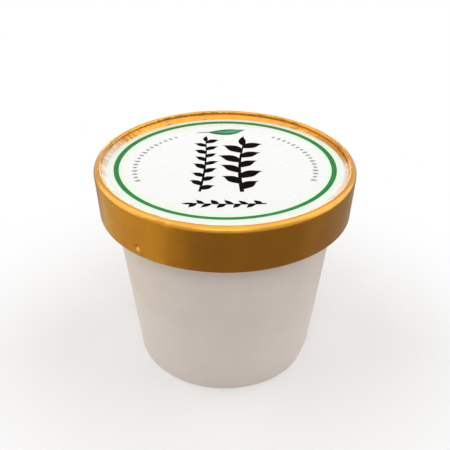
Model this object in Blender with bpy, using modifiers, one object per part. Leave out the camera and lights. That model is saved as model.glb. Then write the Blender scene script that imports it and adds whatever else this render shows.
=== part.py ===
"""Gelato cup: a filled, tapered paper cup, closed by a two-piece lid.

The lid is a gold paper band, turned over a round shoulder at its top edge, and a
white card panel that lies sunk below the crest. Its skirt is two layers of board.
The cup has a rolled lip, hidden in the lid, and stands on the hem of its wall,
with its base disc set up inside.

Metres, +Z up. The origin is the middle of the foot, on the ground, and the front is -Y.
"""

import math

import bmesh
import bpy

MM = 0.001

# Driving dimensions of the cup
CUP_HEIGHT = 62.0 * MM
FOOT_DIAMETER = 56.0 * MM
WALL_TAPER_DEG = 5.8
LIP_ROLL_RADIUS = 1.4 * MM
PAPER = 0.4 * MM
HEM_THICKNESS = 3 * PAPER
FOOT_EDGE_RADIUS = 0.35 * MM
RECESS_DEPTH = 6.0 * MM
BASE_DISC_THICKNESS = 0.6 * MM

# Driving dimensions of the lid
LID_DIAMETER = 76.0 * MM
LID_HEIGHT = 14.9 * MM
SKIRT_DRAFT = 0.6 * MM
SKIRT_THICKNESS = 1.0 * MM
FOLD_THICKNESS = 0.6 * MM
SHOULDER_RADIUS = 1.5 * MM
ROLL_RADIUS = 0.6 * MM
PANEL_SINK = 2.3 * MM
PANEL_THICKNESS = 0.7 * MM
INNER_SLOPE_RUN = 1.6 * MM

# Pieces that touch keep this much air between their faces
GAP = 0.3 * MM

SEGMENTS = 96
ARC_STEPS = 6
SHARP_ANGLE = math.radians(32)

PANEL_TOP_Z = CUP_HEIGHT + GAP + PANEL_THICKNESS
LID_TOP_Z = PANEL_TOP_Z + PANEL_SINK
SKIRT_BOTTOM_Z = LID_TOP_Z - LID_HEIGHT


def wall_radius(z):
    """Outer radius of the cup's tapered wall at height z."""
    return FOOT_DIAMETER / 2 + z * math.tan(math.radians(WALL_TAPER_DEG))


def arc(centre, radius, start_deg, end_deg, steps=ARC_STEPS):
    """Points (r, z) along an arc, both ends included. 0 degrees points outwards and 90 up."""
    points = []
    for step in range(steps + 1):
        angle = math.radians(start_deg + (end_deg - start_deg) * step / steps)
        points.append((centre[0] + radius * math.cos(angle), centre[1] + radius * math.sin(angle)))
    return points


def cup_profile():
    """Outline of the filled cup, from the axis at the brim to the axis inside the foot."""
    roll_z = CUP_HEIGHT - LIP_ROLL_RADIUS
    roll = (wall_radius(roll_z) - PAPER + LIP_ROLL_RADIUS, roll_z)
    under_lip_z = roll_z - LIP_ROLL_RADIUS
    foot = (wall_radius(0) - FOOT_EDGE_RADIUS, FOOT_EDGE_RADIUS)
    recess_radius = wall_radius(RECESS_DEPTH) - HEM_THICKNESS
    return [
        (0, CUP_HEIGHT),
        *arc(roll, LIP_ROLL_RADIUS, 90, -120, 2 * ARC_STEPS),
        (wall_radius(under_lip_z), under_lip_z),
        *arc(foot, FOOT_EDGE_RADIUS, -WALL_TAPER_DEG, -90, 3),
        (wall_radius(0) - HEM_THICKNESS, 0),
        (recess_radius, RECESS_DEPTH + GAP),
        (0, RECESS_DEPTH + GAP),
    ]


def base_disc_profile():
    """Outline of the card disc that closes the cup's foot, from the axis above to the axis below."""
    low = RECESS_DEPTH - BASE_DISC_THICKNESS
    radius = wall_radius(low) - HEM_THICKNESS - GAP
    return [(0, RECESS_DEPTH), (radius, RECESS_DEPTH), (radius, low), (0, low)]


def lid_band_profile():
    """Closed outline of the gold band: down its outer side, and back up inside to the sloping inner face."""
    outer = LID_DIAMETER / 2
    shoulder = (outer - SHOULDER_RADIUS, LID_TOP_Z - SHOULDER_RADIUS)
    roll = (shoulder[0], LID_TOP_Z - ROLL_RADIUS)
    slope_top = (roll[0] - ROLL_RADIUS, roll[1])
    slope_foot = (slope_top[0] - INNER_SLOPE_RUN, PANEL_TOP_Z)
    return [
        *arc(roll, ROLL_RADIUS, 165, 90, ARC_STEPS // 2)[:-1],
        *arc(shoulder, SHOULDER_RADIUS, 90, 0),
        (outer - SKIRT_DRAFT, SKIRT_BOTTOM_Z),
        (outer - SKIRT_DRAFT - SKIRT_THICKNESS, SKIRT_BOTTOM_Z),
        (outer - SKIRT_THICKNESS, shoulder[1] - FOLD_THICKNESS),
        *arc(shoulder, SHOULDER_RADIUS - FOLD_THICKNESS, 30, 90, ARC_STEPS // 2),
        (slope_top[0] + FOLD_THICKNESS / 2, slope_top[1] - FOLD_THICKNESS / 2),
        (slope_foot[0] + FOLD_THICKNESS / 2, slope_foot[1] - FOLD_THICKNESS),
        (slope_foot[0] - FOLD_THICKNESS / 4, slope_foot[1] - FOLD_THICKNESS),
        slope_foot,
    ]


def lid_panel_profile():
    """Outline of the sunk white panel, from the axis on top to the axis below."""
    slope_foot = LID_DIAMETER / 2 - SHOULDER_RADIUS - ROLL_RADIUS - INNER_SLOPE_RUN
    radius = slope_foot - FOLD_THICKNESS / 4 - GAP
    low = PANEL_TOP_Z - PANEL_THICKNESS
    return [(0, PANEL_TOP_Z), (radius, PANEL_TOP_Z), (radius, low), (0, low)]


def material(name, colour, roughness, metallic=0.0):
    """A plain Principled material. The colour is linear RGB."""
    made = bpy.data.materials.new(name)
    made.use_nodes = True
    shader = made.node_tree.nodes["Principled BSDF"]
    shader.inputs["Base Color"].default_value = (*colour, 1.0)
    shader.inputs["Roughness"].default_value = roughness
    shader.inputs["Metallic"].default_value = metallic
    return made


def turned(name, profile, is_ring, finish, collection):
    """A solid of revolution about Z. A ring's outline closes on itself, and any other starts and ends on the axis."""
    outline = bmesh.new()
    points = [outline.verts.new((r, 0, z)) for r, z in profile]
    for first, second in zip(points, points[1:]):
        outline.edges.new((first, second))
    if is_ring:
        outline.edges.new((points[-1], points[0]))
    mesh = bpy.data.meshes.new(name)
    outline.to_mesh(mesh)
    outline.free()

    piece = bpy.data.objects.new(name, mesh)
    collection.objects.link(piece)
    screw = piece.modifiers.new("Turn", "SCREW")
    screw.steps = SEGMENTS
    screw.render_steps = SEGMENTS
    screw.use_merge_vertices = True
    screw.merge_threshold = 0.00001
    bpy.context.view_layer.update()

    solid = bpy.data.meshes.new_from_object(piece.evaluated_get(bpy.context.evaluated_depsgraph_get()))
    piece.modifiers.clear()
    piece.data = solid
    solid.name = name
    bpy.data.meshes.remove(mesh)
    solid.shade_smooth()
    solid.set_sharp_from_angle(angle=SHARP_ANGLE)
    solid.materials.clear()
    solid.materials.append(finish)
    return piece


def build():
    for old in list(bpy.data.objects):
        bpy.data.objects.remove(old)
    collection = bpy.data.collections.new("gelato_cup")
    bpy.context.scene.collection.children.link(collection)

    white_paper = material("white_cup_paper", (0.80, 0.74, 0.70), 0.55)
    gold_paper = material("gold_lid_paper", (0.50, 0.27, 0.07), 0.35, 0.9)
    white_card = material("white_panel_card", (0.90, 0.90, 0.89), 0.30)

    turned("cup", cup_profile(), False, white_paper, collection)
    turned("cup_base_disc", base_disc_profile(), False, white_paper, collection)
    turned("lid_band", lid_band_profile(), True, gold_paper, collection)
    turned("lid_panel", lid_panel_profile(), False, white_card, collection)


build()
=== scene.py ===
"""Gelato cup: the looks of a shut paper cup with a gold-sided lid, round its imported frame.

The file is laid out as an add-on and is run as a script. Every size is in metres, +Z is up
and the cup's front is -Y. Each piece has its own operator, and main() runs them in order.
"""

import math
import random

import bmesh
import bpy
from bpy.props import FloatProperty, FloatVectorProperty, IntProperty, PointerProperty
from mathutils import Matrix, Vector, noise


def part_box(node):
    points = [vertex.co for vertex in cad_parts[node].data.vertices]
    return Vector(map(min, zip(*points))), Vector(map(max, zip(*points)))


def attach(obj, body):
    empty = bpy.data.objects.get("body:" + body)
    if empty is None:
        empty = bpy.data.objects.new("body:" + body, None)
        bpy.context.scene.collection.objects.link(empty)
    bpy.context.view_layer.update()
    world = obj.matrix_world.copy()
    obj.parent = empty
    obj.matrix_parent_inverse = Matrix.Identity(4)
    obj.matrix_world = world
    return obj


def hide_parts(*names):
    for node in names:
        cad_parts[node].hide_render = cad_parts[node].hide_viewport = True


bl_info = {
    "name": "Gelato Cup",
    "version": (1, 0, 0),
    "blender": (4, 5, 0),
    "location": "3D Viewport > Sidebar > Gelato Cup",
    "description": "Builds a lidded paper gelato cup with its printed panel, and a plain studio",
    "category": "Add Mesh",
}

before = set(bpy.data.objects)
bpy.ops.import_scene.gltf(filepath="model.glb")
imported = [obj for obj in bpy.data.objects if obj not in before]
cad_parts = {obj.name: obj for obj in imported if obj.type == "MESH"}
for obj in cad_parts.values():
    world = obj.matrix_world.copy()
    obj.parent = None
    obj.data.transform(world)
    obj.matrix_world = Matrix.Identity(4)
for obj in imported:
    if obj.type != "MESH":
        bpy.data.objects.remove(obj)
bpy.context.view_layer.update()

MM = 0.001
TURN = 2 * math.pi
BODY = "root"

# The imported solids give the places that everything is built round
CUP_LOW, CUP_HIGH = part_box("cup")
BAND_LOW, BAND_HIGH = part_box("lid_band")
PANEL_LOW, PANEL_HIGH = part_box("lid_panel")
DISC_LOW, DISC_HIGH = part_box("cup_base_disc")
BRIM_Z = CUP_HIGH.z
LID_RADIUS = BAND_HIGH.x
LID_TOP_Z = BAND_HIGH.z
SKIRT_BOTTOM_Z = BAND_LOW.z
PANEL_Z = PANEL_HIGH.z
DISC_Z = DISC_LOW.z


def widest(node, low, high):
    """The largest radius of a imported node's corners between two heights."""
    corners = [v.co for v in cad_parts[node].data.vertices if low <= v.co.z <= high]
    return max(math.hypot(c.x, c.y) for c in corners)


FOOT_RADIUS = widest("cup", 0, 1 * MM)
LIP_RADIUS = 1.4 * MM
UNDER_LIP_Z = BRIM_Z - 2 * LIP_RADIUS
SKIRT_BOTTOM_RADIUS = widest("lid_band", SKIRT_BOTTOM_Z, SKIRT_BOTTOM_Z + 0.1 * MM)


def linear(hex_colour):
    """Linear RGB of an sRGB hex colour."""
    channels = [int(hex_colour[i:i + 2], 16) / 255 for i in (1, 3, 5)]
    return tuple(c / 12.92 if c <= 0.04045 else ((c + 0.055) / 1.055) ** 2.4 for c in channels)


def colour_property(name, description, hex_colour):
    return FloatVectorProperty(
        name=name, description=description, default=linear(hex_colour), size=3, min=0, max=1, subtype="COLOR"
    )


def plain_property(name, description, default):
    return FloatProperty(name=name, description=description, default=default, min=0)


def length_property(name, description, default):
    return FloatProperty(name=name, description=description, default=default, min=0, unit="LENGTH")


# ---------------------------------------------------------------------------
# Settings that a user would change
# ---------------------------------------------------------------------------


class CupSettings(bpy.types.PropertyGroup):
    taper: FloatProperty(
        name="Taper", description="Slope of the wall", default=math.radians(5.8), subtype="ANGLE"
    )
    paper: length_property("Paper", "Thickness of the cup's paper", 0.35 * MM)
    lap: length_property("Lap", "Width of the glued lap where the wall's two edges meet", 7 * MM)
    hem: length_property("Hem", "Thickness of the folded hem that the cup stands on", 1.2 * MM)
    crimp_pitch: length_property("Crimp pitch", "Spacing of the crimps inside the hem", 2.4 * MM)
    colour: colour_property("Paper colour", "Colour of the coated paperboard", "#EADDD4")


class LidSettings(bpy.types.PropertyGroup):
    shoulder_radius: length_property("Shoulder radius", "Radius of the lid's outer top edge", 1.5 * MM)
    roll_radius: length_property("Roll radius", "Radius of the fold inside the crest", 0.6 * MM)
    inner_run: length_property("Inner slope", "How far the inner face slopes in to the panel", 1.6 * MM)
    droop: length_property("Droop", "How much lower the crest lies at the front than at the back", 1.55 * MM)
    skin: length_property("Gold skin", "Thickness of the gold outer layer", 0.3 * MM)
    liner: length_property("Liner", "Thickness of the plain board inside the skirt", 0.6 * MM)
    crinkle: length_property("Crinkle", "Depth of the folds where the gold paper turns in", 0.15 * MM)
    panel_dish: length_property("Panel dish", "How far the panel dips in the middle", 0.15 * MM)
    gold: colour_property("Gold", "Colour of the metallised paper", "#C58B1D")
    gold_shade: colour_property("Gold shade", "Colour of its darker mottling", "#BD8120")
    card: colour_property("Card", "Colour of the varnished panel", "#F5F5F3")
    # Painted reflection: a pale matt colour on the front half of the inner slope, in place of a lamp's glare on
    # the gold
    painted_glare: colour_property("Bare board", "Colour of the board where the gold film ends", "#E3CDB9")
    board: colour_property("Board", "Colour of the uncoated board inside the skirt", "#E2DCD2")


class PrintSettings(bpy.types.PropertyGroup):
    ring_radius: length_property("Ring radius", "Radius of the printed ring", 31.63 * MM)
    ring_width: length_property("Ring width", "Width of the printed ring's line", 1.5 * MM)
    ring_shift: length_property("Ring shift", "Extra width at the back, taken off at the front", 0.3 * MM)
    marks: IntProperty(name="Seeds", description="Seed marks in each side arc", default=17, min=1)
    green: colour_property("Ring green", "Ink of the ring", "#2E8A43")
    leaf: colour_property("Leaf green", "Ink of the leaf", "#2C834C")
    leaf_light: colour_property("Leaf light", "Ink of the light along the leaf's middle", "#50A473")
    black: colour_property("Black", "Ink of the brushed sprigs", "#15100D")
    grey: colour_property("Grey", "Ink of the seed marks", "#8E9890")
    tint: colour_property("Tint", "Pale wash on both sides of the ring", "#EBFAE5")


class StageSettings(bpy.types.PropertyGroup):
    floor: colour_property("Floor", "Colour of the floor", "#F2F2F2")
    overhead: plain_property("Overhead", "Power of the softbox above", 1.62)
    front: plain_property("Front", "Power of the strip lamp above the front", 0.5)
    sides: plain_property("Sides", "Power of the softbox on each side", 1.42)
    back: plain_property("Back", "Power of the low strip lamp behind", 0.5)
    ambient: plain_property("Ambient", "Strength of the light from all round", 0.14)


# ---------------------------------------------------------------------------
# Materials
# ---------------------------------------------------------------------------


def add_node(tree, kind, values=None, links=None, **settings):
    """Adds a node with its own settings, values for its open sockets and the outputs that feed the others."""
    made = tree.nodes.new(kind)
    for name, value in settings.items():
        setattr(made, name, value)
    for socket, value in (values or {}).items():
        made.inputs[socket].default_value = value
    for socket, source in (links or {}).items():
        tree.links.new(source, made.inputs[socket])
    return made


def new_material(name, values):
    """A material with an empty tree but for its shader and output: (material, tree, shader)."""
    material = bpy.data.materials.new(name)
    material.use_nodes = True
    tree = material.node_tree
    shader = tree.nodes["Principled BSDF"]
    for socket, value in values.items():
        shader.inputs[socket].default_value = value
    return material, tree, shader


def per_metre(size):
    """Noise scale whose patches are about this size."""
    return 1 / size


def mottled(tree, vector, size, low, high, detail=2.0):
    """A noise of that patch size, spread between two values."""
    cloud = add_node(
        tree, "ShaderNodeTexNoise", {"Scale": per_metre(size), "Detail": detail}, {"Vector": vector}
    )
    return add_node(
        tree,
        "ShaderNodeMapRange",
        {"From Min": 0.3, "From Max": 0.7, "To Min": low, "To Max": high},
        {"Value": cloud.outputs["Fac"]},
    ).outputs["Result"]


def distance_from_axis(tree, place):
    """Distance of each point from the cup's upright axis."""
    flat = add_node(tree, "ShaderNodeVectorMath", {1: (1, 1, 0)}, {0: place}, operation="MULTIPLY")
    return add_node(
        tree, "ShaderNodeVectorMath", None, {0: flat.outputs["Vector"]}, operation="LENGTH"
    ).outputs["Value"]


def seen_rays(tree):
    """1 for the camera's rays and for those that metal and glass send on, else 0."""
    paths = add_node(tree, "ShaderNodeLightPath").outputs
    seen = paths["Is Camera Ray"]
    for kind in ("Is Glossy Ray", "Is Transmission Ray"):
        either = add_node(tree, "ShaderNodeMath", None, {0: seen, 1: paths[kind]}, operation="MAXIMUM")
        seen = either.outputs[0]
    return seen


def coated_paperboard(colour):
    """Cupstock, bleached board with a skin of polythene rolled onto it. White with a warm cast, a soft satin
    sheen, cloudy where its fibres bunch, and faintly pebbled by the fibres under the skin."""
    material, tree, shader = new_material("coated_paperboard", {"IOR": 1.5})
    place = add_node(tree, "ShaderNodeTexCoord").outputs["Object"]
    cloud = mottled(tree, place, 9 * MM, 0.0, 1.0)
    tone = add_node(
        tree,
        "ShaderNodeMix",
        {"A": (*colour, 1), "B": (*[0.955 * c for c in colour], 1)},
        {"Factor": cloud},
        data_type="RGBA",
    )
    roughness = mottled(tree, place, 2.5 * MM, 0.42, 0.52)
    fibres = add_node(
        tree, "ShaderNodeTexNoise", {"Scale": per_metre(0.5 * MM), "Detail": 3.0}, {"Vector": place}
    )
    pebble = add_node(
        tree, "ShaderNodeBump", {"Strength": 0.12, "Distance": 0.03 * MM}, {"Height": fibres.outputs["Fac"]}
    )
    tree.links.new(tone.outputs["Result"], shader.inputs["Base Color"])
    tree.links.new(roughness, shader.inputs["Roughness"])
    tree.links.new(pebble.outputs["Normal"], shader.inputs["Normal"])
    return material


# The stretch of the inner slope that is painted pale and matt, a painted reflection of a lamp's glare: its
# middle, as an angle round the cup, and where it fades in, as shares of the slope's radius towards that middle
GLARE_MIDDLE = math.radians(-100)
GLARE_FADE = (-0.28, -0.05)


def gold_metallised_paper(gold, shade, painted_glare, inner_radius):
    """Board laminated with an aluminised film under gold lacquer. A broad satin shine, a little cloudy, with
    a fine faint crackle and a thin clear coat on top. Inside the crest, round the front half, the inner slope
    is painted a pale pinkish matt colour, a painted reflection that stands in for a bright lamp's glare."""
    material, tree, shader = new_material(
        "gold_metallised_paper",
        {"Specular Tint": (0.95, 0.82, 0.62, 1), "Coat Weight": 0.6, "Coat Roughness": 0.16},
    )
    place = add_node(tree, "ShaderNodeTexCoord").outputs["Object"]
    cloud = mottled(tree, place, 6 * MM, 0.0, 1.0, 3.0)
    tone = add_node(
        tree,
        "ShaderNodeMix",
        {"A": (*gold, 1), "B": (*shade, 1)},
        {"Factor": cloud},
        data_type="RGBA",
    )
    radius = distance_from_axis(tree, place)
    within = add_node(
        tree,
        "ShaderNodeMapRange",
        {"From Min": inner_radius + 0.1 * MM, "From Max": inner_radius - 0.2 * MM},
        {"Value": radius},
    )
    forward = add_node(
        tree,
        "ShaderNodeVectorMath",
        {1: (math.cos(GLARE_MIDDLE), math.sin(GLARE_MIDDLE), 0)},
        {0: place},
        operation="DOT_PRODUCT",
    )
    in_front = add_node(
        tree,
        "ShaderNodeMapRange",
        {"From Min": GLARE_FADE[0] * inner_radius, "From Max": GLARE_FADE[1] * inner_radius},
        {"Value": forward.outputs["Value"]},
    )
    # Painted reflection: where this mask is 1 the slope loses its metal and takes the pale matt colour in place
    # of a lamp's glare
    painted_glare_mask = add_node(
        tree,
        "ShaderNodeMath",
        None,
        {0: within.outputs["Result"], 1: in_front.outputs["Result"]},
        operation="MULTIPLY",
    ).outputs["Value"]
    metallic_outside_glare = add_node(tree, "ShaderNodeMath", {0: 1.0}, {1: painted_glare_mask}, operation="SUBTRACT").outputs["Value"]
    tone = add_node(
        tree,
        "ShaderNodeMix",
        {"B": (*painted_glare, 1)},
        {"A": tone.outputs["Result"], "Factor": painted_glare_mask},
        data_type="RGBA",
    )
    roughness = mottled(tree, place, 3 * MM, 0.29, 0.35)
    crackle = add_node(
        tree, "ShaderNodeTexNoise", {"Scale": per_metre(0.7 * MM), "Detail": 4.0}, {"Vector": place}
    )
    relief = add_node(
        tree, "ShaderNodeBump", {"Strength": 0.05, "Distance": 0.02 * MM}, {"Height": crackle.outputs["Fac"]}
    )
    tree.links.new(tone.outputs["Result"], shader.inputs["Base Color"])
    tree.links.new(roughness, shader.inputs["Roughness"])
    tree.links.new(relief.outputs["Normal"], shader.inputs["Normal"])
    tree.links.new(metallic_outside_glare, shader.inputs["Metallic"])
    return material


def varnished_card(colour, tint, ring_radius):
    """Clay-coated card with a gloss varnish printed over it. Clean white and smooth with a soft gloss, and a
    pale green wash that fades out on both sides of the ring."""
    material, tree, shader = new_material(
        "varnished_card", {"IOR": 1.45, "Coat Weight": 0.15, "Coat Roughness": 0.12}
    )
    place = add_node(tree, "ShaderNodeTexCoord").outputs["Object"]
    radius = distance_from_axis(tree, place)
    off_ring = add_node(tree, "ShaderNodeMath", {1: ring_radius}, {0: radius}, operation="SUBTRACT")
    distance = add_node(tree, "ShaderNodeMath", None, {0: off_ring.outputs["Value"]}, operation="ABSOLUTE")
    wash = add_node(
        tree,
        "ShaderNodeMapRange",
        {"From Min": 1.0 * MM, "From Max": 3.4 * MM, "To Min": 1.0, "To Max": 0.0},
        {"Value": distance.outputs["Value"]},
        interpolation_type="SMOOTHSTEP",
    )
    tone = add_node(
        tree,
        "ShaderNodeMix",
        {"A": (*colour, 1), "B": (*tint, 1)},
        {"Factor": wash.outputs["Result"]},
        data_type="RGBA",
    )
    roughness = mottled(tree, place, 6 * MM, 0.26, 0.28)
    tree.links.new(tone.outputs["Result"], shader.inputs["Base Color"])
    tree.links.new(roughness, shader.inputs["Roughness"])
    return material


def bare_board(colour):
    """Uncoated grey-white board, the inside of the skirt. Dull, with coarse cloudy fibres and a nap."""
    material, tree, shader = new_material("bare_board", {"IOR": 1.45, "Roughness": 0.85})
    place = add_node(tree, "ShaderNodeTexCoord").outputs["Object"]
    cloud = mottled(tree, place, 1.5 * MM, 0.0, 1.0, 4.0)
    tone = add_node(
        tree,
        "ShaderNodeMix",
        {"A": (*colour, 1), "B": (*[0.9 * c for c in colour], 1)},
        {"Factor": cloud},
        data_type="RGBA",
    )
    nap = add_node(tree, "ShaderNodeBump", {"Strength": 0.3, "Distance": 0.04 * MM}, {"Height": cloud})
    tree.links.new(tone.outputs["Result"], shader.inputs["Base Color"])
    tree.links.new(nap.outputs["Normal"], shader.inputs["Normal"])
    return material


def offset_ink(name, colour, unevenness):
    """Offset litho ink. Flat, matt and solid, a shade uneven where the board took less of it."""
    material, tree, shader = new_material(name, {"Specular IOR Level": 0.0, "Roughness": 0.6})
    place = add_node(tree, "ShaderNodeTexCoord").outputs["Object"]
    cloud = mottled(tree, place, 1.2 * MM, 0.0, 1.0, 3.0)
    paler = [c + unevenness * (1 - c) for c in colour]
    tone = add_node(
        tree,
        "ShaderNodeMix",
        {"A": (*colour, 1), "B": (*paler, 1)},
        {"Factor": cloud},
        data_type="RGBA",
    )
    tree.links.new(tone.outputs["Result"], shader.inputs["Base Color"])
    return material


# The floor starts to burn out at the first distance from the middle and is white at the second. Nearer in it
# gets a small lift
FLOOR_FADE = (0.045, 0.12)
FLOOR_LIFT = 0.08


def studio_floor(colour):
    """A matt sweep of paper, plain and pale. It keeps the cup's shadow, and burns out to white away from it."""
    material, tree, shader = new_material("studio_floor", {"Roughness": 1.0, "Base Color": (*colour, 1)})
    place = add_node(tree, "ShaderNodeTexCoord").outputs["Object"]
    reach = add_node(tree, "ShaderNodeVectorMath", None, {0: place}, operation="LENGTH").outputs["Value"]
    far = add_node(
        tree,
        "ShaderNodeMapRange",
        {"From Min": FLOOR_FADE[0], "From Max": FLOOR_FADE[1]},
        {"Value": reach},
        interpolation_type="SMOOTHSTEP",
    )
    lift = add_node(tree, "ShaderNodeEmission", {"Color": (1, 1, 1, 1), "Strength": FLOOR_LIFT})
    near = add_node(tree, "ShaderNodeAddShader", None, {0: shader.outputs[0], 1: lift.outputs[0]})
    white = add_node(tree, "ShaderNodeEmission", {"Color": (1, 1, 1, 1), "Strength": 1.0})
    sweep = add_node(
        tree, "ShaderNodeMixShader", None, {0: far.outputs[0], 1: near.outputs[0], 2: white.outputs[0]}
    )
    shown = add_node(
        tree, "ShaderNodeMixShader", None, {0: seen_rays(tree), 1: shader.outputs[0], 2: sweep.outputs[0]}
    )
    tree.links.new(shown.outputs[0], tree.nodes["Material Output"].inputs["Surface"])
    return material


def reflector_card(name, hex_colour):
    """Matt card that a studio lays near a shiny thing, to give its metal something to mirror."""
    return new_material(name, {"Base Color": (*linear(hex_colour), 1), "Roughness": 0.9})[0]


# ---------------------------------------------------------------------------
# Shapes
# ---------------------------------------------------------------------------


def smooth(t):
    """Eases from 0 to 1 as t does."""
    t = min(max(t, 0.0), 1.0)
    return t * t * (3 - 2 * t)


def arc(centre, radius, start_deg, end_deg, steps):
    """Points (r, z) along an arc, both ends included. 0 degrees points outwards and 90 up."""
    angles = [math.radians(start_deg + (end_deg - start_deg) * i / steps) for i in range(steps + 1)]
    return [(centre[0] + radius * math.cos(a), centre[1] + radius * math.sin(a)) for a in angles]


def run(start, end, steps):
    """Points (r, z) along a straight run, without its start."""
    return [
        (start[0] + (end[0] - start[0]) * i / steps, start[1] + (end[1] - start[1]) * i / steps)
        for i in range(1, steps + 1)
    ]


def inner_side(outline, thickness):
    """An open outline moved inwards by a thickness, square to its own course."""
    moved = []
    for index, (r, z) in enumerate(outline):
        before = outline[max(index - 1, 0)]
        after = outline[min(index + 1, len(outline) - 1)]
        course = Vector((after[0] - before[0], after[1] - before[1])).normalized()
        moved.append((r + course.y * thickness, z - course.x * thickness))
    return moved


def turned(name, outline_at, angles, is_ring):
    """A mesh turned about Z. outline_at(angle) gives the outline (r, z) at that angle, outer side running
    down. A ring's outline closes on itself, and any other starts and ends on the axis."""
    built = bmesh.new()
    outlines = [outline_at(angle) for angle in angles]
    rows = []
    for step in range(len(outlines[0])):
        if outlines[0][step][0] == 0:
            rows.append([built.verts.new((0, 0, outlines[0][step][1]))] * len(angles))
            continue
        rows.append([])
        for angle, outline in zip(angles, outlines):
            r, z = outline[step]
            rows[-1].append(built.verts.new((r * math.cos(angle), r * math.sin(angle), z)))
    following = rows[1:] + rows[:1] if is_ring else rows[1:]
    for upper, lower in zip(rows, following):
        for a in range(len(angles)):
            b = (a + 1) % len(angles)
            built.faces.new(dict.fromkeys((upper[a], lower[a], lower[b], upper[b])))
    mesh = bpy.data.meshes.new(name)
    built.to_mesh(mesh)
    built.free()
    return mesh


def place_piece(mesh, finish, sharp_deg=35):
    """Puts a mesh in the scene as a smooth piece of the cup, in its finish."""
    mesh.shade_smooth()
    mesh.set_sharp_from_angle(angle=math.radians(sharp_deg))
    mesh.materials.append(finish)
    piece = bpy.data.objects.new(mesh.name, mesh)
    bpy.context.scene.collection.objects.link(piece)
    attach(piece, BODY)
    return piece


def columns(count, seam=None, edge=0.0):
    """Angles round the cup, with a close pair on each side of a seam's edge."""
    angles = {TURN * i / count for i in range(count)}
    if seam is not None:
        angles |= {(seam + shift * edge) % TURN for shift in (-1.0, -0.5, 0.0, 0.5, 1.0)}
    return sorted(angles)


def past_seam(angle, seam, radius):
    """Distance round the wall from a seam's edge, negative before it."""
    return ((angle - seam + math.pi) % TURN - math.pi) * radius


def lap_step(distance, lap, edge, fade):
    """Height, as a share of the paper's thickness, of the wall over a glued lap."""
    if distance < 0:
        return smooth(1 + distance / edge)
    return 1 - smooth((distance - lap) / fade)


def pushed_out(marks, angle, z, radius):
    """How far marks of handling push a wall of that radius out at this place."""
    out = 0.0
    for degrees, height, width, length, depth in marks:
        across = past_seam(angle, math.radians(degrees - 90) % TURN, radius) / width
        up = (z - height) / length
        out += depth * math.exp(-across * across - up * up)
    return out


def ripple(angle, height, size, seed):
    """Smooth noise from -1 to 1 on a wall, whose swells are about this size."""
    radius = LID_RADIUS
    return noise.noise(
        Vector((radius * math.cos(angle) / size, radius * math.sin(angle) / size, height / size + seed))
    )


# ---------------------------------------------------------------------------
# The cup
# ---------------------------------------------------------------------------

CUP_SEAM = math.radians(97)
SKIRT_SEAM = math.radians(68)
LAP_EDGE = 0.12 * MM
LAP_FADE = 6 * MM

# Marks of handling: degrees right of the front, height, width, length up the side, and how far it stands out.
# Here a speck under the paper's skin, and the foot knocked in a little
WALL_MARKS = (
    (13.5, 24 * MM, 0.7 * MM, 0.7 * MM, 0.22 * MM),
    (66, 0, 6 * MM, 2.6 * MM, -0.6 * MM),
)


def wall_radius(cup, z):
    return FOOT_RADIUS + z * math.tan(cup.taper)


def cup_outline(cup, angle):
    """The shut cup at one angle: brim, rolled lip, wall, hem and the recess under the foot."""
    roll = (wall_radius(cup, BRIM_Z - LIP_RADIUS) - cup.paper + LIP_RADIUS, BRIM_Z - LIP_RADIUS)
    foot_edge = 0.35 * MM
    lap = lap_step(past_seam(angle, CUP_SEAM, wall_radius(cup, BRIM_Z / 2)), cup.lap, LAP_EDGE, LAP_FADE)
    wall_top = (wall_radius(cup, UNDER_LIP_Z), UNDER_LIP_Z)
    wall = []
    for r, z in [wall_top] + run(wall_top, (wall_radius(cup, foot_edge), foot_edge), 110):
        swell = 0.07 * MM * ripple(angle, z, 22 * MM, 3.1) + 0.03 * MM * ripple(angle, z, 7 * MM, 9.4)
        crease = -0.05 * MM * math.exp(-((z - 1.1 * MM) / (0.25 * MM)) ** 2)
        disc_line = -0.04 * MM * math.exp(-((z - DISC_Z) / (0.8 * MM)) ** 2)
        fade = smooth((z - foot_edge) / (1.5 * MM))
        wall.append((r + lap * cup.paper + fade * swell + crease + disc_line + wall_marks(angle, z), z))
    foot = (FOOT_RADIUS - foot_edge + lap * cup.paper + wall_marks(angle, foot_edge), foot_edge)
    slope = math.tan(cup.taper)
    crimp = 0.07 * MM * math.cos(angle * round(TURN * FOOT_RADIUS / cup.crimp_pitch))
    hem_r = FOOT_RADIUS - cup.hem
    hem_top = DISC_Z - 0.9 * MM
    return [
        (0, BRIM_Z),
        (roll[0] * 0.97, BRIM_Z),
        *arc(roll, LIP_RADIUS, 90, -120, 14),
        *wall,
        *arc(foot, foot_edge, -20, -90, 4),
        (hem_r + 0.25 * MM, 0),
        (hem_r, 0.2 * MM),
        *[(hem_r + (z - 0.2 * MM) * slope + crimp * smooth(z / (2 * MM)), z)
          for _, z in run((0, 0.2 * MM), (0, hem_top), 8)],
        (hem_r + hem_top * slope + cup.paper, hem_top + 0.1 * MM),
        (hem_r + hem_top * slope + cup.paper, DISC_HIGH.z + 0.3 * MM),
        (0, DISC_HIGH.z + 0.3 * MM),
    ]


def wall_marks(angle, z):
    """How far the marks of handling push the cup's wall out at this place."""
    return pushed_out(WALL_MARKS, angle, z, FOOT_RADIUS)


class GELATO_OT_add_cup_wall(bpy.types.Operator):
    """The paper wall with its glued lap, its rolled lip inside the lid and the hem that it stands on"""

    bl_idname = "gelato.add_cup_wall"
    bl_label = "Cup wall"

    def execute(self, context):
        cup = context.scene.gelato_cup
        mesh = turned(
            "cup_wall",
            lambda angle: cup_outline(cup, angle),
            columns(420, CUP_SEAM, LAP_EDGE / FOOT_RADIUS),
            is_ring=False,
        )
        piece = place_piece(mesh, coated_paperboard(cup.colour))
        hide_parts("cup")
        return {"FINISHED"}


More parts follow.
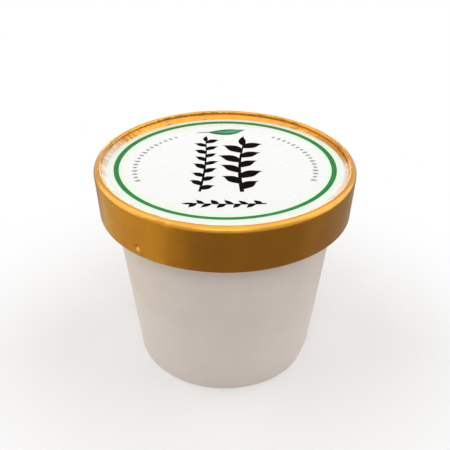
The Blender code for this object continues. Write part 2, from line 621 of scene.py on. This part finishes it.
def disc_outline(angle):
    """The pressed base disc at one angle, arched up in the middle, its edge turned down behind the hem."""
    edge = FOOT_RADIUS - 0.9 * MM
    turn = 0.9 * MM
    arch = 0.5 * MM
    top, low = DISC_HIGH.z, DISC_LOW.z
    card = top - low
    above = [
        (
            edge * share,
            top + arch * (1 - share * share) + 0.02 * MM * ripple(angle, share * edge, 9 * MM, 5.0),
        )
        for share in (0.0, 0.15, 0.35, 0.55, 0.7, 0.85)
    ]
    above[0] = (0, top + arch)
    below = [(r, z - card) for r, z in reversed(above)]
    bend = (edge - turn, low - turn + card)
    return [
        *above,
        *arc(bend, turn, 90, 0, 5),
        (edge, low - 2 * turn),
        (edge - card, low - 2 * turn),
        *arc(bend, turn - card, 0, 90, 4),
        *below,
    ]


class GELATO_OT_add_base_disc(bpy.types.Operator):
    """The disc of the same board that closes the foot, set up inside the hem"""

    bl_idname = "gelato.add_base_disc"
    bl_label = "Base disc"

    def execute(self, context):
        mesh = turned("base_disc", disc_outline, columns(180), is_ring=False)
        piece = place_piece(mesh, bpy.data.materials["coated_paperboard"])
        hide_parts("cup_base_disc")
        return {"FINISHED"}


# ---------------------------------------------------------------------------
# The lid
# ---------------------------------------------------------------------------

SKIRT_STEPS = 38

# How far the panel runs on under the gold paper
PANEL_TUCK = 1.5 * MM

# Where the crest lies lowest
LOW_ANGLE = math.radians(-70)

# Marks of handling on the gold, as in WALL_MARKS: a dent and its raised edge, a crease, a kink, a faint dent
SKIRT_MARKS = (
    (-37.8, 53.0 * MM, 0.8 * MM, 0.7 * MM, -0.62 * MM),
    (-36.6, 51.7 * MM, 0.9 * MM, 0.6 * MM, 0.34 * MM),
    (-31.5, 51.2 * MM, 2.6 * MM, 0.5 * MM, -0.10 * MM),
    (-23.5, 63.3 * MM, 1.4 * MM, 1.1 * MM, -0.24 * MM),
    (24.0, 52.6 * MM, 1.2 * MM, 0.8 * MM, -0.06 * MM),
)


def skirt_swell(angle, z):
    """How far the skirt stands out of round."""
    return 0.09 * MM * ripple(angle, z, 26 * MM, 17.0) + 0.025 * MM * ripple(angle, z, 6 * MM, 4.0)


def crinkles(angle, z):
    """Folds from -1 to 1 in paper that was turned inwards: uneven pleats across the rim, and finer ones."""
    broad = 1 - 4.4 * abs(ripple(angle, z * 0.3, 4.2 * MM, 31.0))
    narrow = 1 - 4.4 * abs(ripple(angle, z * 0.3, 1.9 * MM, 12.0))
    fine = ripple(angle, z, 1.0 * MM, 57.0)
    return 0.6 * broad + 0.35 * narrow + 0.5 * fine


def band_outline(lid, angle):
    """The gold skin's outer side at one angle: from the panel up the inner slope to a crease, then over the
    crest, which rolls back over the crease, and down the skirt."""
    near_front = (1 + math.cos(angle - LOW_ANGLE)) / 2
    crest_z = LID_TOP_Z - lid.droop * near_front
    crest_r = LID_RADIUS - lid.shoulder_radius
    inner_r = crest_r - lid.roll_radius
    roll = (crest_r, crest_z - lid.roll_radius)
    shoulder = (crest_r, crest_z - lid.shoulder_radius)
    slope_foot = (inner_r - lid.inner_run * (1 - 0.3 * near_front), PANEL_Z + 0.04 * MM)
    crease = (inner_r + 0.12 * MM, max(roll[1] - 0.75 * lid.roll_radius, PANEL_Z + 0.12 * MM))
    bend = (crease[0] - 0.35 * (inner_r - slope_foot[0]), 0.65 * crease[1] + 0.35 * slope_foot[1] + 0.08 * MM)
    slope = [slope_foot] + run(slope_foot, bend, 7)
    turn_in = run(bend, crease, 3)
    crest = arc(roll, lid.roll_radius, 210, 90, 9)
    over = arc(shoulder, lid.shoulder_radius, 90, 0, 14)[1:]
    skirt = run(over[-1], (SKIRT_BOTTOM_RADIUS, SKIRT_BOTTOM_Z), SKIRT_STEPS)
    outline = slope + turn_in + crest + over + skirt
    folded = len(slope) + len(turn_in) + len(crest) // 2
    rounded = len(outline) - SKIRT_STEPS
    lap = lap_step(past_seam(angle, SKIRT_SEAM, LID_RADIUS), 8 * MM, LAP_EDGE, LAP_FADE)
    inwards = inner_side(outline, 1.0)
    moved = []
    for index, (r, z) in enumerate(outline):
        if index < folded:
            rise = lid.crinkle * (1.2 - near_front) * crinkles(angle, z) * smooth(index / 3)
        else:
            rise = pushed_out(SKIRT_MARKS, angle, z, LID_RADIUS)
            if index < rounded:
                rise += 0.2 * lid.crinkle * crinkles(angle, z)
            else:
                down = smooth((shoulder[1] - z) / (2 * MM))
                rise += (skirt_swell(angle, z) + lap * lid.skin) * down
        moved.append((r + rise * (r - inwards[index][0]), z + rise * (z - inwards[index][1])))
    return moved


def closed_skin(outer, thickness):
    """An outline closed by its own inner side, which has half as many points."""
    inner = inner_side(outer, thickness)
    return outer + inner[:0:-2] + inner[:1]


class GELATO_OT_add_lid_band(bpy.types.Operator):
    """The gold band: skirt, shoulder and crinkled inner slope, with plain board behind the skirt"""

    bl_idname = "gelato.add_lid_band"
    bl_label = "Lid band"

    def execute(self, context):
        lid = context.scene.gelato_lid
        angles = columns(760, SKIRT_SEAM, LAP_EDGE / LID_RADIUS)
        mesh = turned(
            "gold_band", lambda angle: closed_skin(band_outline(lid, angle), lid.skin), angles, is_ring=True
        )
        inner_radius = LID_RADIUS - lid.shoulder_radius - lid.roll_radius
        finish = gold_metallised_paper(lid.gold, lid.gold_shade, lid.painted_glare, inner_radius)
        piece = place_piece(mesh, finish)
        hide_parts("lid_band")

        def liner_outline(angle):
            skirt = band_outline(lid, angle)[2 - SKIRT_STEPS:]
            outer = inner_side(skirt, lid.skin + 0.02 * MM)
            return closed_skin(outer, lid.liner)

        liner = turned("skirt_liner", liner_outline, columns(360), is_ring=True)
        place_piece(liner, bare_board(lid.board))
        return {"FINISHED"}


def panel_height(lid, x, y):
    """Height of the panel's face, which dips a little towards the middle and is not quite flat."""
    share = min(math.hypot(x, y) / PANEL_HIGH.x, 1.0)
    wave = noise.noise(Vector((x / (24 * MM), y / (24 * MM), 2.0)))
    return PANEL_Z + (wave * 0.05 * MM - lid.panel_dish) * (1 - share * share) ** 2


class GELATO_OT_add_lid_panel(bpy.types.Operator):
    """The varnished white card that lies sunk in the lid, its edge under the gold paper"""

    bl_idname = "gelato.add_lid_panel"
    bl_label = "Lid panel"

    def execute(self, context):
        lid = context.scene.gelato_lid
        prints = context.scene.gelato_prints
        edge = PANEL_HIGH.x + PANEL_TUCK
        card = PANEL_HIGH.z - PANEL_LOW.z

        def panel_outline(angle):
            radii = [edge * i / 40 for i in range(41)]
            face = [(r, panel_height(lid, r * math.cos(angle), r * math.sin(angle))) for r in radii]
            return face + [(edge, PANEL_Z - card), (0, PANEL_Z - card)]

        mesh = turned("lid_panel_card", panel_outline, columns(240), is_ring=False)
        finish = varnished_card(lid.card, prints.tint, prints.ring_radius)
        piece = place_piece(mesh, finish)
        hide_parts("lid_panel")
        return {"FINISHED"}


# ---------------------------------------------------------------------------
# The print on the panel
# ---------------------------------------------------------------------------


class Film:
    """A thin printed film on the panel, built up stroke by stroke in one mesh."""

    def __init__(self, name, lid, lift=0.0):
        self.name = name
        self.lid = lid
        self.lift = lift
        self.strokes = 0
        self.built = bmesh.new()

    def stroke(self, centres, half_widths, is_loop=False):
        """A closed strip along centres (x, y), as wide on each side as half_widths says."""
        base = self.lift + 0.015 * MM + 0.003 * MM * (self.strokes % 4)
        film = 0.02 * MM
        self.strokes += 1
        count = len(centres)
        rings = []
        for index, ((x, y), half) in enumerate(zip(centres, half_widths)):
            before = centres[(index - 1) % count if is_loop else max(index - 1, 0)]
            after = centres[(index + 1) % count if is_loop else min(index + 1, count - 1)]
            course = Vector((after[0] - before[0], after[1] - before[1])).normalized()
            left = (x - course.y * half, y + course.x * half)
            right = (x + course.y * half, y - course.x * half)
            ring = []
            for (px, py), over in ((left, film), (right, film), (right, 0), (left, 0)):
                z = panel_height(self.lid, px, py) + base + over
                ring.append(self.built.verts.new((px, py, z)))
            rings.append(ring)
        following = rings[1:] + rings[:1] if is_loop else rings[1:]
        for ring, after in zip(rings, following):
            for a in range(4):
                b = (a + 1) % 4
                self.built.faces.new((ring[a], ring[b], after[b], after[a]))
        if not is_loop:
            self.built.faces.new(rings[0][::-1])
            self.built.faces.new(rings[-1])

    def finish(self, finish):
        mesh = bpy.data.meshes.new(self.name)
        bmesh.ops.recalc_face_normals(self.built, faces=self.built.faces)
        self.built.to_mesh(mesh)
        self.built.free()
        return place_piece(mesh, finish, sharp_deg=20)


def curve_between(start, end, bow, steps):
    """Points on a bowed line. bow is how far its middle stands to the left, as a share of its length."""
    start, end = Vector(start), Vector(end)
    along = end - start
    side = Vector((-along.y, along.x)) * bow
    return [tuple(start + along * t + side * 4 * t * (1 - t)) for t in (i / steps for i in range(steps + 1))]


def blade(film, start, end, width, bow=0.1, fullest=0.42, steps=20):
    """A leaf or brush stroke: drawn out to a point at its end, blunter at its start."""
    centres = curve_between(start, end, bow, steps)
    power = math.log(0.5) / math.log(fullest)
    halves = []
    for i in range(steps + 1):
        t = i / steps
        swell = math.sin(math.pi * t ** power) ** (0.7 + 0.9 * t) if 0 < t < 1 else 0.0
        halves.append(max(width / 2 * swell, 0.03 * MM))
    film.stroke(centres, halves)


def stem(film, start, end, width, bow):
    """A thin brushed line that tapers to its end."""
    steps = 16
    halves = [width / 2 * (1 - 0.6 * i / steps) for i in range(steps + 1)]
    film.stroke(curve_between(start, end, bow, steps), halves)


class GELATO_OT_add_ring_print(bpy.types.Operator):
    """The plain green ring near the panel's edge, a little finer at the front than at the back"""

    bl_idname = "gelato.add_ring_print"
    bl_label = "Printed ring"

    def execute(self, context):
        prints = context.scene.gelato_prints
        film = Film("print_ring", context.scene.gelato_lid)
        centres = []
        half_widths = []
        for angle in columns(300):
            half = (prints.ring_width + prints.ring_shift * math.sin(angle)) / 2
            radius = prints.ring_radius + prints.ring_width / 2 - half
            centres.append((radius * math.cos(angle), radius * math.sin(angle)))
            half_widths.append(half)
        film.stroke(centres, half_widths, is_loop=True)
        film.finish(offset_ink("green_litho_ink", prints.green, 0.04))
        return {"FINISHED"}


class GELATO_OT_add_leaf_print(bpy.types.Operator):
    """The green leaf at the far side of the panel, with its stalk"""

    bl_idname = "gelato.add_leaf_print"
    bl_label = "Printed leaf"

    def execute(self, context):
        prints = context.scene.gelato_prints
        lid = context.scene.gelato_lid
        film = Film("print_leaf", lid)
        base, tip = (-5.4 * MM, 23.1 * MM), (6.8 * MM, 25.5 * MM)
        blade(film, base, tip, 4.5 * MM, bow=-0.075, fullest=0.47, steps=30)
        stem(film, (-4.9 * MM, 23.15 * MM), (-9.4 * MM, 22.5 * MM), 0.6 * MM, bow=-0.05)
        film.finish(offset_ink("leaf_litho_ink", prints.leaf, 0.05))
        light = Film("print_leaf_light", lid, lift=0.04 * MM)
        base, tip = (-3.0 * MM, 23.3 * MM), (5.4 * MM, 24.6 * MM)
        blade(light, base, tip, 1.9 * MM, bow=-0.06, fullest=0.55, steps=20)
        light.finish(offset_ink("pale_leaf_litho_ink", prints.leaf_light, 0.12))
        return {"FINISHED"}


def sprig(film, root, tip, leaf, leaves, lean_deg, bow, seed):
    """A brushed sprig: a thin bowed stem with plain oval leaves, left and right by turns, and one at its tip.
    leaf is the leaves' length and width. A leaf leans out from the stem by that many degrees."""
    draw = random.Random(seed)
    length, width = leaf
    root, tip = Vector(root), Vector(tip)
    stem_tip = tip - (tip - root).normalized() * 0.95 * length
    course = curve_between(root, stem_tip, bow, leaves)
    stem(film, root, stem_tip, 0.15 * length, bow)
    for index in range(leaves):
        start = Vector(course[index]).lerp(Vector(course[index + 1]), 0.45)
        along = (Vector(course[index + 1]) - Vector(course[index])).normalized()
        side = 1 if index % 2 else -1
        lean = side * math.radians(lean_deg + draw.uniform(-7, 7))
        reach = Matrix.Rotation(lean, 2) @ along * length * draw.uniform(0.88, 1.06)
        blade(film, start, start + reach, width * draw.uniform(0.88, 1.1), bow=-0.09 * side, fullest=0.45)
    blade(film, stem_tip, tip, 0.62 * width, bow=0.05, fullest=0.4)


class GELATO_OT_add_sprig_prints(bpy.types.Operator):
    """Two upright brushed sprigs in black down the middle of the panel, and a small one lying under them"""

    bl_idname = "gelato.add_sprig_prints"
    bl_label = "Printed sprigs"

    def execute(self, context):
        prints = context.scene.gelato_prints
        film = Film("print_sprigs", context.scene.gelato_lid)
        low, high = -17.5 * MM, 20.4 * MM
        sprig(film, (4.6 * MM, low), (5.8 * MM, high), (7.8 * MM, 3.7 * MM), 9, 52, 0.03, seed=4)
        sprig(film, (-6.9 * MM, low), (-6.0 * MM, high), (4.7 * MM, 2.3 * MM), 13, 54, -0.02, seed=11)
        row = -24.0 * MM
        sprig(film, (10.8 * MM, row), (-11.6 * MM, row), (3.4 * MM, 1.5 * MM), 10, 46, 0.02, seed=7)
        film.finish(offset_ink("black_litho_ink", prints.black, 0.004))
        return {"FINISHED"}


class GELATO_OT_add_seed_prints(bpy.types.Operator):
    """Small grey seed marks in an arc down each side, inside the ring"""

    bl_idname = "gelato.add_seed_prints"
    bl_label = "Printed seeds"

    def execute(self, context):
        prints = context.scene.gelato_prints
        film = Film("print_seeds", context.scene.gelato_lid)
        middle = Vector((0, -2.0 * MM))
        radius = 26.2 * MM
        half = 1.0 * MM
        for first, last in ((127, 201), (54, -19)):
            for index in range(prints.marks):
                angle = math.radians(first + (last - first) * index / (prints.marks - 1))
                out = Vector((math.cos(angle), math.sin(angle)))
                reach = half * (0.7, 1.0, 0.85)[index % 3]
                start, end = middle + out * (radius - reach), middle + out * (radius + reach)
                blade(film, start, end, 0.85 * MM, bow=0.0, steps=8)
        film.finish(offset_ink("grey_litho_ink", prints.grey, 0.1))
        return {"FINISHED"}


# ---------------------------------------------------------------------------
# The stage
# ---------------------------------------------------------------------------


def softbox(name, place, aim, size, power):
    """A white square lamp that faces its aim."""
    lamp = bpy.data.lights.new(name, "AREA")
    lamp.shape = "RECTANGLE"
    lamp.size, lamp.size_y = size
    lamp.energy = power
    made = bpy.data.objects.new(name, lamp)
    made.location = place
    made.rotation_euler = (Vector(aim) - Vector(place)).to_track_quat("-Z", "Y").to_euler()
    bpy.context.scene.collection.objects.link(made)


def lying_card(name, corners, z, finish):
    """A flat card of the stage, lying at height z with these corners (x, y), counter-clockwise."""
    built = bmesh.new()
    built.faces.new([built.verts.new((x, y, z)) for x, y in corners])
    mesh = bpy.data.meshes.new(name)
    built.to_mesh(mesh)
    built.free()
    mesh.materials.append(finish)
    card = bpy.data.objects.new(name, mesh)
    bpy.context.scene.collection.objects.link(card)
    return card


def around(radius, start_deg, end_deg, steps=24):
    """Points (x, y) on an arc round the cup. 0 degrees is the front, and positive goes to the right."""
    angles = [math.radians(start_deg + (end_deg - start_deg) * i / steps - 90) for i in range(steps + 1)]
    return [(radius * math.cos(a), radius * math.sin(a)) for a in angles]


def white_world(ambient):
    """Soft light from all round, and plain white behind everything that the camera, metal or glass sees."""
    world = bpy.data.worlds.new("white_world")
    bpy.context.scene.world = world
    world.use_nodes = True
    tree = world.node_tree
    strength = add_node(
        tree, "ShaderNodeMapRange", {"To Min": ambient, "To Max": 1.0}, {"Value": seen_rays(tree)}
    )
    light = tree.nodes["Background"]
    light.inputs["Color"].default_value = (1, 1, 1, 1)
    tree.links.new(strength.outputs["Result"], light.inputs["Strength"])


FLOOR_HALF = 3.0
CARD_HEIGHT = 0.5 * MM
CARD_NEAR = 0.05
CARD_FAR = 0.42

# Cards that lie round the cup for the gold to mirror: name, first and last degree right of the front, colour
CARDS = (
    ("card_left", -125, -44, "#EEDFA4"),
    ("card_left_edge", -44, -28, "#BFB088"),
    ("card_front", -28, 60, "#93877D"),
    ("card_back", 60, 235, "#A8A099"),
)


class GELATO_OT_add_stage(bpy.types.Operator):
    """A pale floor, soft studio lamps, cards for the gold to mirror, and the camera"""

    bl_idname = "gelato.add_stage"
    bl_label = "Stage"

    def execute(self, context):
        scene = context.scene
        stage = scene.gelato_stage
        corners = [(FLOOR_HALF * x, FLOOR_HALF * y) for x, y in ((-1, -1), (1, -1), (1, 1), (-1, 1))]
        lying_card("floor", corners, 0, studio_floor(stage.floor))

        for name, start_deg, end_deg, colour in CARDS:
            sector = around(CARD_FAR, start_deg, end_deg) + around(CARD_NEAR, end_deg, start_deg)
            card = lying_card(name, sector, CARD_HEIGHT, reflector_card(name, colour))
            card.visible_camera = False
            card.visible_diffuse = False
            card.visible_shadow = False
            card.visible_transmission = False

        middle = (0, 0, LID_TOP_Z / 2)
        softbox("overhead_softbox", (0, -0.02, 0.55), middle, (0.80, 0.72), stage.overhead)
        softbox("front_strip", (0, -0.36, 0.42), middle, (0.30, 0.10), stage.front)
        softbox("left_softbox", (-0.50, 0.05, 0.33), middle, (0.60, 0.60), stage.sides)
        softbox("right_softbox", (0.50, 0.08, 0.33), middle, (0.60, 0.60), stage.sides)
        softbox("back_strip", (-0.02, 0.50, 0.15), (0, 0, LID_TOP_Z), (0.44, 0.14), stage.back)
        white_world(stage.ambient)
        add_camera(scene)
        scene.view_settings.view_transform = "Standard"
        return {"FINISHED"}


def add_camera(scene):
    """A 50 mm lens close above the cup's front, a hair off level."""
    distance = 194.4 * MM
    elevation = math.radians(31.3)
    roll = math.radians(0.22)
    aim = Vector((0, 0, 0.64 * LID_TOP_Z))
    lens = bpy.data.cameras.new("camera")
    lens.lens = 50
    lens.sensor_width = 36
    lens.clip_start = 0.01
    camera = bpy.data.objects.new("camera", lens)
    camera.matrix_world = (
        Matrix.Translation(aim + distance * Vector((0, -math.cos(elevation), math.sin(elevation))))
        @ Matrix.Rotation(math.pi / 2 - elevation, 4, "X")
        @ Matrix.Rotation(roll, 4, "Z")
    )
    scene.collection.objects.link(camera)
    scene.camera = camera


# ---------------------------------------------------------------------------
# The add-on
# ---------------------------------------------------------------------------

OPERATORS = (
    GELATO_OT_add_cup_wall,
    GELATO_OT_add_base_disc,
    GELATO_OT_add_lid_band,
    GELATO_OT_add_lid_panel,
    GELATO_OT_add_ring_print,
    GELATO_OT_add_leaf_print,
    GELATO_OT_add_sprig_prints,
    GELATO_OT_add_seed_prints,
    GELATO_OT_add_stage,
)


class VIEW3D_PT_gelato_cup(bpy.types.Panel):
    """Lists the pieces in the order in which they are built"""

    bl_idname = "VIEW3D_PT_gelato_cup"
    bl_label = "Gelato Cup"
    bl_space_type = "VIEW_3D"
    bl_region_type = "UI"
    bl_category = "Gelato Cup"

    def draw(self, context):
        for operator in OPERATORS:
            self.layout.operator(operator.bl_idname)
        for group in SETTINGS:
            box = self.layout.box()
            box.label(text=group)
            settings = getattr(context.scene, group)
            for name in settings.__annotations__:
                box.prop(settings, name)


SETTINGS = {
    "gelato_cup": CupSettings,
    "gelato_lid": LidSettings,
    "gelato_prints": PrintSettings,
    "gelato_stage": StageSettings,
}


def register():
    for group, settings in SETTINGS.items():
        bpy.utils.register_class(settings)
        setattr(bpy.types.Scene, group, PointerProperty(type=settings))
    for shown in (*OPERATORS, VIEW3D_PT_gelato_cup):
        bpy.utils.register_class(shown)


def unregister():
    for shown in reversed((*OPERATORS, VIEW3D_PT_gelato_cup)):
        bpy.utils.unregister_class(shown)
    for group, settings in SETTINGS.items():
        delattr(bpy.types.Scene, group)
        bpy.utils.unregister_class(settings)


def main():
    register()
    for operator in OPERATORS:
        family, name = operator.bl_idname.split(".")
        getattr(getattr(bpy.ops, family), name)()


if __name__ == "__main__":
    main()
